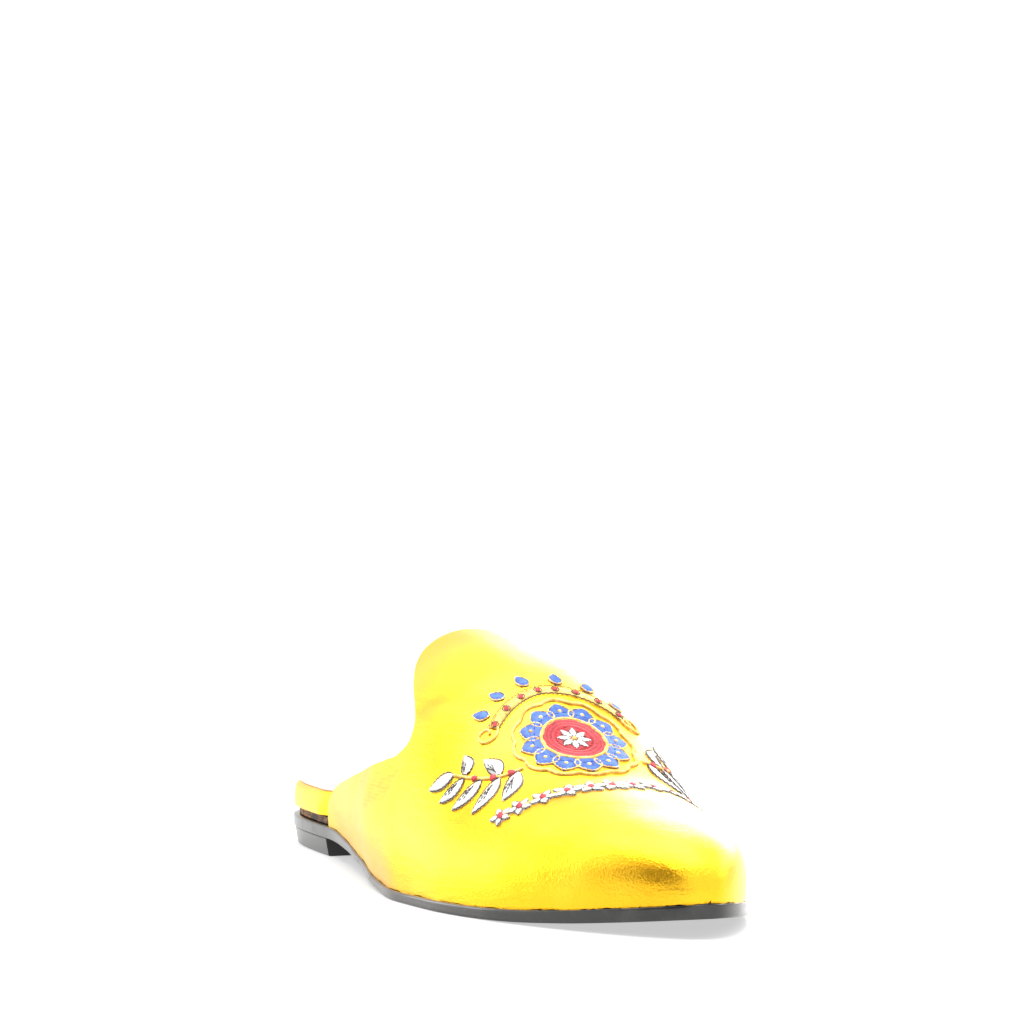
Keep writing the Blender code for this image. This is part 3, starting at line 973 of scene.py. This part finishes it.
@dataclass
class Stitches:
    """One colour of thread: a list of stitches, each a copy of one modelled stitch."""

    thread: Thread
    rows: list = field(default_factory=list)

    def sew(self, start: object, end: object, width: float, height: float) -> None:
        """Adds a stitch from one flat place to another, sizes in millimetres."""
        self.rows.append((*start, *end, width, height))

    def satin(self, shape: Array, angle: float, height: float, width: float = THREAD) -> None:
        """Fills a closed outline with side-by-side stitches at an angle, split where long."""
        turn = np.array(((math.cos(angle), math.sin(angle)), (-math.sin(angle), math.cos(angle))))
        turned = shape @ turn.T
        after = np.roll(turned, -1, axis=0)
        low, high = turned[:, 1].min(), turned[:, 1].max()
        for number, row in enumerate(np.arange(low + width * 0.4, high, width * 0.86)):
            hit = (turned[:, 1] <= row) != (after[:, 1] <= row)
            here, there = turned[hit], after[hit]
            part = (row - here[:, 1]) / (there[:, 1] - here[:, 1])
            cuts = np.sort(here[:, 0] + part * (there[:, 0] - here[:, 0]))
            for a, b in zip(cuts[::2], cuts[1::2]):
                if b - a < SHORTEST_ROW:
                    continue
                pieces = max(1, int(round((b - a) / LONGEST_STITCH)))
                shift = (number % 3) / 3.0 if pieces > 1 else 0.0
                first = 0 if shift > 0 else 1
                marks = {a, *(a + (b - a) * (k + shift) / pieces for k in range(first, pieces))}
                marks = sorted(m for m in marks if a <= m < b) + [b]
                for m, n in zip(marks[:-1], marks[1:]):
                    if n - m > SHORTEST_STITCH:
                        ends = np.array(((m - OVERRUN, row), (n + OVERRUN, row))) @ turn
                        self.sew(*ends, width, height)

    def line(self, path: Array, width: float, length: float, height: float) -> None:
        """Sews a line of stem stitches along a path."""
        for a, b in walk(path, length):
            self.sew(a, b + (b - a) * 0.18, width, height)

    def cord(
        self,
        path: Array,
        width: float,
        height: float,
        step: float = 0.42,
        thread: float = 0.50,
        slant: float = 0.35,
    ) -> None:
        """Sews a twisted cord along a path: short slanting stitches, one beside the other.

        Args:
            path: the cord's middle line.
            width: the cord's width.
            height: how far it stands up.
            step: distance from one stitch to the next.
            thread: width of one stitch.
            slant: how far a stitch leans along the path, as a share of the cord's width.
        """
        for a, b in walk(path, step):
            along = (b - a) / max(np.linalg.norm(b - a), TINY)
            reach = quarter(along) * width / 2
            lean = along * width * slant
            self.sew(a - reach - lean, a + reach + lean, thread, height)


def compass(turn: float) -> Array:
    """The flat direction at an angle from the one that points to the instep."""
    return np.array((math.sin(turn), -math.cos(turn)))


def spot_on(path: Array, share: float) -> Array:
    """The point of a path at a share of its points."""
    return path[int(share * (len(path) - 1))]


def heading(way: Array) -> float:
    """The angle of a flat direction."""
    return math.atan2(way[1], way[0])


def quarter(way: Array) -> Array:
    """A flat direction turned by a quarter."""
    return np.array((-way[1], way[0]))


def offset(path: Array, side: float) -> Array:
    """A path moved square to itself."""
    along = np.gradient(path, axis=0)
    along /= np.linalg.norm(along, axis=1, keepdims=True)
    return path + np.stack([-along[:, 1], along[:, 0]], axis=1) * side


def walk(path: Array, length: float) -> list[tuple[Array, Array]]:
    """Cuts a path into pieces of about one length."""
    path = np.asarray(path, float)
    run = run_along(path)
    count = max(1, int(round(run[-1] / length)))
    marks = np.linspace(0, run[-1], count + 1)
    places = np.stack([np.interp(marks, run, path[:, k]) for k in range(2)], axis=1)
    return list(zip(places[:-1], places[1:]))


def ring(
    middle: Array, radius: float, count: int = 64, wave: float = 0.0, lobes: int = 0
) -> Array:
    """A closed round or scalloped outline."""
    t = np.linspace(0, 2 * math.pi, count, endpoint=False)
    r = radius + wave * np.abs(np.cos(t * lobes / 2)) if lobes else radius + 0 * t
    return np.stack([middle[0] + r * np.sin(t), middle[1] - r * np.cos(t)], axis=1)


def leaf(root: object, tip: object, width: float, bow: float = 0.0) -> Array:
    """A pointed leaf's outline between two places, bowed to one side."""
    root, tip = np.asarray(root, float), np.asarray(tip, float)
    along = tip - root
    side = quarter(along) / np.linalg.norm(along)
    t = np.linspace(0, 1, 15)
    spine = root + along * t[:, None] + side * (bow * np.sin(t * math.pi))[:, None]
    half = (width / 2 * np.sin(t**0.8 * math.pi) ** 0.8)[:, None]
    return np.concatenate([spine + side * half, (spine - side * half)[-2:0:-1]])


def closed(shape: Array) -> Array:
    """An outline that ends where it starts."""
    return np.concatenate([shape, shape[:1]])


def scroll(middle: tuple, size: float, start: float, turns: float) -> Array:
    """A spiral path that winds in. Turns below 0 wind the other way."""
    t = np.linspace(0, 1, 40)
    radius = size * (1 - 0.78 * t)
    angle = start + turns * 2 * math.pi * t
    return np.stack([radius * np.cos(angle), radius * np.sin(angle)], axis=1) + middle


@dataclass
class Embroidery:
    """A generic floral embroidery: a round blue and red rosette with leaf sprays and gold cord."""

    upper: Upper
    middle: float = 0.700

    def __post_init__(self) -> None:
        """Starts a list of stitches for each colour, in the threads' order."""
        self.blue, self.red, self.white, self.black, self.gold = map(Stitches, Thread)

    def draw(self) -> tuple[Stitches, ...]:
        """Lays out the design.

        Returns:
            The stitches of each colour.
        """
        self.rosette()
        for hand in (-1, 1):
            self.spray(hand)
            self.arch(hand)
            self.garland(hand)
        return self.blue, self.red, self.white, self.black, self.gold

    def knot(self, spot: Array, arms: int, reach: float, width: float, height: float) -> None:
        """A gold knot: stitches crossed in one place."""
        for spin in range(arms):
            turn = spin * math.pi / arms
            arm = np.array((math.cos(turn), math.sin(turn))) * reach
            self.gold.sew(spot - arm, spot + arm, width, height)

    def flower(
        self, spot: Array, count: int, spin: float, petal: tuple, height: float, edge: float
    ) -> None:
        """A white flower with black edges.

        Args:
            spot: its middle.
            count: how many petals it has.
            spin: the first petal's angle.
            petal: where a petal starts and ends from the middle, and its width.
            height: how high the white stands up.
            edge: how high the black edge stands up.
        """
        start, end, width = petal
        for k in range(count):
            turn = 2 * math.pi * k / count + spin
            shape = leaf(spot + compass(turn) * start, spot + compass(turn) * end, width)
            self.white.satin(shape, turn, height, FINE_THREAD)
            self.black.line(closed(shape), 0.26, 1.1, edge)

    def rosette(self) -> None:
        """The round middle: blue petals round a red ring and a white star flower."""
        centre = np.zeros(2)
        for k in range(12):
            out = compass(2 * math.pi * k / 12)
            petal = leaf(out * 8.2, out * 15.4, 7.6)
            self.blue.satin(petal, heading(out) + math.pi / 2, 0.5)
            self.gold.line(closed(petal), 0.42, 1.3, 0.62)
            self.knot(out * 12.0, 3, 0.75, 0.45, 0.95)
        for r in (5.9, 7.0, 8.1):
            count = int(2 * math.pi * r / FINE_THREAD)
            for k in range(count):
                out = compass(2 * math.pi * (k + r) / count)
                self.red.sew(out * (r - 0.9), out * (r + 0.75), THREAD, 0.55)
        self.red.satin(ring(centre, 5.2), 0.3, 0.45)
        self.flower(centre, 8, 0.2, (0.9, 4.6, 2.3), 0.75, 0.80)
        self.knot(centre, 5, 0.9, 0.5, 1.15)
        self.gold.cord(closed(ring(centre, 8.9, 90)), 1.1, 0.85)
        self.gold.cord(closed(ring(centre, 16.2, 140, 1.1, 12)), 1.2, 0.75)

    def spray(self, hand: int) -> None:
        """White leaves with black edges along a curved gold stem, and three red berries."""
        t = np.linspace(0, 1, 40)
        drop = 7 - 15 * t + 4.5 * np.sin(t * math.pi)
        stem = np.stack([hand * (17.5 + 17.5 * t), drop], axis=1)
        self.gold.cord(stem, 1.0, 0.7)
        for k, (place, size) in enumerate(((0.10, 11.6), (0.36, 12.6), (0.62, 11.4), (0.86, 9.8))):
            i = int(place * (len(stem) - 1))
            along = stem[i + 1] - stem[i]
            along /= np.linalg.norm(along)
            self.white_leaf(stem[i], along, size, k, hand, (1, 0.62, 0.80))
            if k % 2:
                self.white_leaf(stem[i], along, size, k, hand, (-1, 0.50, 0.62))
        end = stem[-1]
        shape = leaf(end, end + np.array((hand * 8.5, -4.5)), 4.6)
        self.white.satin(shape, 1.2 * hand, 0.6)
        self.black.line(closed(shape), *LEAF_EDGE)
        for k, place in enumerate((0.20, 0.47, 0.74)):
            berry = ring(spot_on(stem, place), 1.25 - 0.12 * k, 18)
            self.red.satin(berry, 0.5 * hand, 1.0, FINE_THREAD)

    def white_leaf(
        self, root: Array, along: Array, size: float, k: int, hand: int, growth: tuple
    ) -> None:
        """A white leaf with a black edge and three black veins.

        Args:
            root: where it grows from the stem.
            along: the stem's direction there.
            size: its length, before it leans.
            k: its number on the stem. Later leaves are narrower.
            hand: -1 on the outer side, 1 on the inner.
            growth: its side of the stem (1 or -1), then its lean and its reach.
        """
        flip, lean, reach = growth
        side = quarter(along) * hand
        tip = root + along * size * lean + side * flip * size * reach
        shape = leaf(root + side * flip * 0.6, tip, 5.2 - 0.3 * k, 0.8 * flip * hand)
        way = tip - root
        self.white.satin(shape, heading(way) + math.pi / 2 - 0.5 * flip * hand, 0.6)
        self.black.line(closed(shape), *LEAF_EDGE)
        cross = quarter(way) / size
        for low, high, bend in ((0.22, 0.74, 0.0), (0.30, 0.62, 1.0), (0.30, 0.62, -1.0)):
            vein = np.array((root + way * low, root + way * high + cross * bend))
            self.black.line(vein + side * 0.25, *VEIN)

    def arch(self, hand: int) -> None:
        """A gold arch with red beads, blue buds and a scroll, towards the instep."""
        curl = scroll((hand * 21.8, -12.6), 3.7, math.pi / 2 * (1 + hand), -hand * 1.15)
        self.gold.cord(curl, 0.9, 0.7)
        t = np.linspace(0, 1, 40)
        path = np.stack([hand * 19.5 * t, -22.2 + 9 * t**2], axis=1)
        self.gold.cord(path, 3.6, 0.5, step=0.40, thread=THREAD, slant=0.0)
        for side in (-1.9, 1.9):
            self.black.line(offset(path, side), 0.34, 1.3, 0.72)
        for place in (0.14, 0.42, 0.70, 0.95):
            spot = spot_on(path, place)
            self.black.line(closed(ring(spot, 1.15, 16)), 0.28, 0.8, 0.95)
            self.red.satin(ring(spot, 0.9, 14), 0.4, 1.0, 0.40)
        for x, y, lean in ((4.4, -25.0, 0.2), (12.2, -22.8, 0.5), (18.6, -18.4, 0.8)):
            root = np.array((hand * x, y))
            way = compass(hand * lean) * 5.6
            bud = leaf(root, root + way, 3.8)
            self.blue.satin(bud, heading(way) + math.pi / 2, 0.55, 0.44)
            self.gold.line(closed(bud), 0.42, 1.1, 0.62)

    def garland(self, hand: int) -> None:
        """A hanging string of white petals with red hearts, towards the toe."""
        t = np.linspace(0, 1, 60)
        path = np.stack([hand * 31 * t, 27.0 - 6.5 * t**1.7], axis=1)
        self.gold.cord(path, 0.9, 0.6)
        for k, place in enumerate((0.0, 0.2, 0.4, 0.6, 0.8, 0.97)):
            if k == 0 and hand < 0:
                continue
            spot = spot_on(path, place)
            size = 4.6 - 0.28 * k
            self.flower(spot, 5, 0.3 * k, (0.7, size, size * 0.66), 0.7, 0.74)
            self.red.satin(ring(spot, 1.2, 18), 0.4, 1.05, FINE_THREAD)

    def build(self) -> None:
        """Copies the modelled stitch to every place, one object for each colour of thread."""
        cloth = Cloth(self.upper, self.middle * LENGTH)
        shape, faces = self.model_stitch()
        for stitches in self.draw():
            table = np.array(stitches.rows)
            start, end, width, height = table[:, :2], table[:, 2:4], table[:, 4], table[:, 5]
            along = end - start
            size = np.maximum(np.linalg.norm(along, axis=1, keepdims=True), TINY)
            side = np.stack([-along[:, 1], along[:, 0]], axis=1) / size
            part = (shape[:, 1] + 1) / 2
            flat = start[:, None] + along[:, None] * part[None, :, None]
            taper = 1 - 0.45 * np.abs(shape[:, 1]) ** 6
            spread = (shape[:, 0] * taper)[None, :, None] * width[:, None, None] / 2
            flat = flat + side[:, None] * spread
            arch = (1 - np.abs(shape[:, 1]) ** 4) * 0.75 - 0.1
            lift = height[:, None] * arch[None] + shape[None, :, 2] * width[:, None] * 0.42
            points = cloth.lay(flat, lift / 1000)
            shifts = (np.arange(len(start)) * len(shape))[:, None, None]
            quads = (np.array(faces)[None] + shifts).reshape(-1, 4)
            name = f"embroidery_{stitches.thread.name.lower()}"
            mesh = bpy.data.meshes.new(name)
            mesh.from_pydata(points.reshape(-1, 3).tolist(), [], quads.tolist())
            piece = bpy.data.objects.new(name, mesh)
            bpy.context.scene.collection.objects.link(piece)
            finish_piece(piece, [stitches.thread.make()], 75.0)

    def model_stitch(self) -> tuple[Array, list[tuple[int, ...]]]:
        """Models one stitch: a short rounded thread, thin at both ends.

        Returns:
            Its points, from -1 to 1 along its length and across, and its faces of four corners,
            the six-sided ends cut in two.
        """
        deselect()
        bpy.ops.mesh.primitive_cylinder_add(
            vertices=6, radius=1.0, depth=2.0, end_fill_type="NGON", rotation=(math.pi / 2, 0, 0)
        )
        thread = bpy.context.object
        bpy.ops.object.transform_apply(location=True, rotation=True, scale=True)
        for place in (-0.6, 0.0, 0.6):
            bpy.ops.object.mode_set(mode="EDIT")
            bpy.ops.mesh.select_all(action="SELECT")
            bpy.ops.mesh.bisect(plane_co=(0, place, 0), plane_no=(0, 1, 0))
            bpy.ops.object.mode_set(mode="OBJECT")
        points = get_points(thread)
        faces = []
        for face in thread.data.polygons:
            corners = tuple(face.vertices)
            faces.append(corners[:4])
            if len(corners) == 6:
                faces.append((corners[0], *corners[3:]))
        bpy.data.objects.remove(thread)
        return points, faces


# ---- Sole


@dataclass
class Sole:
    """The hard parts under the foot: the outsole, the heel block and the insole board."""

    last: Last
    rows: int = 170
    columns: int = 48
    # The underside, its round edge, the side, the top's round edge and the top
    marks: tuple = (0.0, 0.3, 0.4, 0.6, 0.7, 1.0)
    bevel: float = 0.0005
    heel_length: float = 0.062
    heel_inset: float = 0.0006
    heel_taper: float = 0.0008

    def slab(
        self, name: str, inset: float, end: float, low: Array, high: Array, taper: float
    ) -> Piece:
        """Shapes a flat layer with softly rounded edges.

        Args:
            name: the piece's name.
            inset: how far its side stands in from the sole's edge.
            end: its last station.
            low: heights of its underside, one for each row.
            high: heights of its top.
            taper: how much narrower it is at the bottom.

        Returns:
            The closed object.
        """
        piece = add_grid(name, self.columns, self.rows)
        grid = get_points(piece)
        even = np.linspace(0, 1, self.rows + 1)
        stations = self.stations(inset, end)
        station, base, top = (np.interp(grid[:, 1], even, part) for part in (stations, low, high))
        reach = self.last.half_width(station, inset)
        sign, way, parts = half_section(grid[:, 0], self.marks)
        under, lower, side, upper, inward = parts
        lower, upper = lower * math.pi / 2, upper * math.pi / 2
        round_off = np.minimum(self.bevel, reach * 0.5)
        lean = taper * (1 - side) * np.minimum(1.0, reach / 0.008)
        x = (reach - lean - round_off) * under + round_off * (np.sin(lower) - 1 + np.cos(upper))
        x = np.where(way <= self.marks[1], (reach - lean - round_off) * under, x)
        x = np.where(way >= self.marks[4], (reach - round_off) * (1 - inward), x)
        climb = (1 - np.cos(lower)) + np.sin(upper)
        z = base + self.bevel * climb + side * (top - base - 2 * self.bevel)
        set_layer(piece, self.last.centre(station) + sign * x, station, z)
        close_body(piece)
        return piece

    def stations(self, inset: float, end: float) -> Array:
        """Stations that crowd together at both round ends, or at the back alone."""
        even = np.linspace(0, 1, self.rows + 1)
        round_both = 0.5 * (1 - np.cos(even * math.pi))
        round_back = 1 - np.cos(even * math.pi / 2)
        return inset + (end - inset) * (round_both if end > self.heel_length else round_back)

    def build(self) -> None:
        """Builds the outsole and the heel block and dresses the board."""
        run = self.stations(0.0, LENGTH)
        top = self.last.sole_top(run)
        low = top - OUTSOLE_THICKNESS * self.last.read(RISE, 3, run)
        outsole = self.slab("outsole_leather", 0.0, LENGTH, low, top, 0.0)
        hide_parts("outsole")
        finish_piece(outsole, [BlackSole().make()], 50.0)
        floor = np.zeros(self.rows + 1)
        sides = (self.heel_inset, self.heel_length, floor, floor + HEEL_HEIGHT, self.heel_taper)
        block = self.slab("heel_block", *sides)
        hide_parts("heel")
        finish_piece(block, [BlackSole(coat=0.3, name="black heel").make()], 50.0)
        material = DarkBoard().make()
        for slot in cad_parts["insole_board"].material_slots:
            slot.material = material
        LOG.info("insole_board dressed")


# ---- Studio


@dataclass
class Studio:
    """A plain pale floor, soft lights and the photograph's camera."""

    floor_colour: tuple = (0.27, 0.27, 0.268, 1.0)
    floor_second: tuple = (0.29, 0.29, 0.288, 1.0)
    floor_far: tuple = (0.62, 0.62, 0.615, 1.0)
    floor_radius: float = 14.0
    # Where the floor's darker middle ends, in millimetres from the slipper
    floor_fade: tuple = (350, 1000)
    room_strength: float = 1.24
    dim_strength: float = 0.02
    dim_side: tuple = (-0.81, -0.45, 0.375)
    # Cosines of the angles from the dim patch's middle where it starts and is at its darkest
    dim_edge: tuple = (0.90, 0.955)
    aim: tuple = (0.0, 0.0, 0.03)
    # Name, place, size in metres and power in watts
    softboxes: tuple = (
        ("top softbox", (-0.1, 0.0, 1.3), 1.2, 34.0),
        ("rim softbox", (1.5, 1.7, 1.0), 1.4, 44.0),
        ("right softbox", (1.2, 0.0, 0.8), 0.8, 9.0),
        ("left softbox", (-1.6, 1.3, 0.6), 1.2, 21.0),
    )

    def floor(self) -> None:
        """A wide pale floor, which shines a little by itself to keep the shadows light."""
        deselect()
        bpy.ops.mesh.primitive_circle_add(vertices=96, radius=self.floor_radius, fill_type="TRIFAN")
        ground = bpy.context.object
        ground.name = "studio_floor"
        n = Nodes("pale floor")
        here = n.place()
        cloud = n.noise(here, 0.01, 2.0)
        far = n.add("ShaderNodeVectorMath", {"operation": "LENGTH"}, {0: here}, "Value")
        near_colour = n.blend(cloud, self.floor_colour, self.floor_second)
        material = n.dress(
            Base_Color=n.blend(far.step(*self.floor_fade), near_colour, self.floor_far),
            Roughness=0.42,
            Specular_IOR_Level=0.12,
            Emission_Color=(1.0, 1.0, 1.0, 1.0),
            Emission_Strength=0.55,
        )
        ground.data.materials.append(material)

    def light(self, name: str, place: tuple, size: float, watts: float) -> None:
        """A soft square light that faces the slipper."""
        data = bpy.data.lights.new(name, "AREA")
        data.shape = "SQUARE"
        data.size = size
        data.energy = watts
        lamp = bpy.data.objects.new(name, data)
        bpy.context.scene.collection.objects.link(lamp)
        lamp.location = place
        lamp.rotation_mode = "QUATERNION"
        lamp.rotation_quaternion = (Vector(self.aim) - Vector(place)).to_track_quat("-Z", "Y")

    def lights(self) -> None:
        """Soft light from above and both sides, in a white room.

        The toe mirrors something dark that stood by the photograph's camera: a soft dim patch.
        """
        n = Nodes("white room", world=True)
        way = n.add("ShaderNodeTexCoord", {}, {}, "Generated")
        dim = Vector(self.dim_side).normalized()
        dot = {"operation": "DOT_PRODUCT"}
        near = n.add("ShaderNodeVectorMath", dot, {0: way, 1: dim}, "Value")
        outer, inner = self.dim_edge
        ends = {0: near, 1: outer, 2: inner, 3: self.room_strength, 4: self.dim_strength}
        strength = n.add("ShaderNodeMapRange", {"interpolation_type": "SMOOTHSTEP"}, ends)
        bpy.context.scene.world = n.dress(Color=(1.0, 1.0, 1.0, 1.0), Strength=strength)
        for softbox in self.softboxes:
            self.light(*softbox)

    def camera(self) -> None:
        """The photograph's camera, found from the sole's outline."""
        low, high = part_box("heel")
        base = Vector(((low[0] + high[0]) / 2, LENGTH / 2, 0.0))
        a, e = CAMERA_AZIMUTH, CAMERA_ELEVATION
        back = Vector((math.sin(a) * math.cos(e), -math.cos(a) * math.cos(e), math.sin(e)))
        right = Vector((math.cos(a), math.sin(a), 0.0))
        up = back.cross(right)
        data = bpy.data.cameras.new("photo camera")
        data.lens = CAMERA_LENS_MM
        data.sensor_width = SENSOR_MM
        data.clip_start, data.clip_end = 0.05, 60.0
        eye = bpy.data.objects.new("photo camera", data)
        bpy.context.scene.collection.objects.link(eye)
        turn = Matrix((right, up, back)).transposed().to_4x4()
        turn.translation = base + CAMERA_PLACE
        eye.matrix_world = turn
        bpy.context.scene.camera = eye

    def build(self) -> None:
        """Sets the scene round the slipper."""
        self.floor()
        self.lights()
        self.camera()
        view = bpy.context.scene.view_settings
        view.view_transform = "Standard"
        view.look = "None"
        view.exposure = 0.0


def main() -> None:
    """Builds every sub-assembly in order."""
    logging.basicConfig(level=logging.INFO, format="%(name)s: %(message)s")
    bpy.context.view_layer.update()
    last = Last()
    gold = GoldLeather().make()
    lining = PaleLining().make()
    Sole(last).build()
    upper = Upper(last)
    finish_piece(upper.build(), [gold, lining, gold], 60.0)
    footbed = Footbed(last)
    finish_piece(footbed.build(), [gold], 50.0)
    # The sock's colours are set far darker than the lining's: painted shade that holds back the
    # strong top light falling on it
    sock = PaleLining((0.35, 0.31, 0.29, 1.0), (0.30, 0.262, 0.243, 1.0), "pale sock").make()
    sock_edge = DarkBoard((0.34, 0.13, 0.02, 1.0), (0.62, 0.30, 0.06, 1.0)).make()
    finish_piece(footbed.build_sock(), [sock, sock_edge], 50.0)
    Embroidery(upper).build()
    Studio().build()


if __name__ == "__main__":
    main()
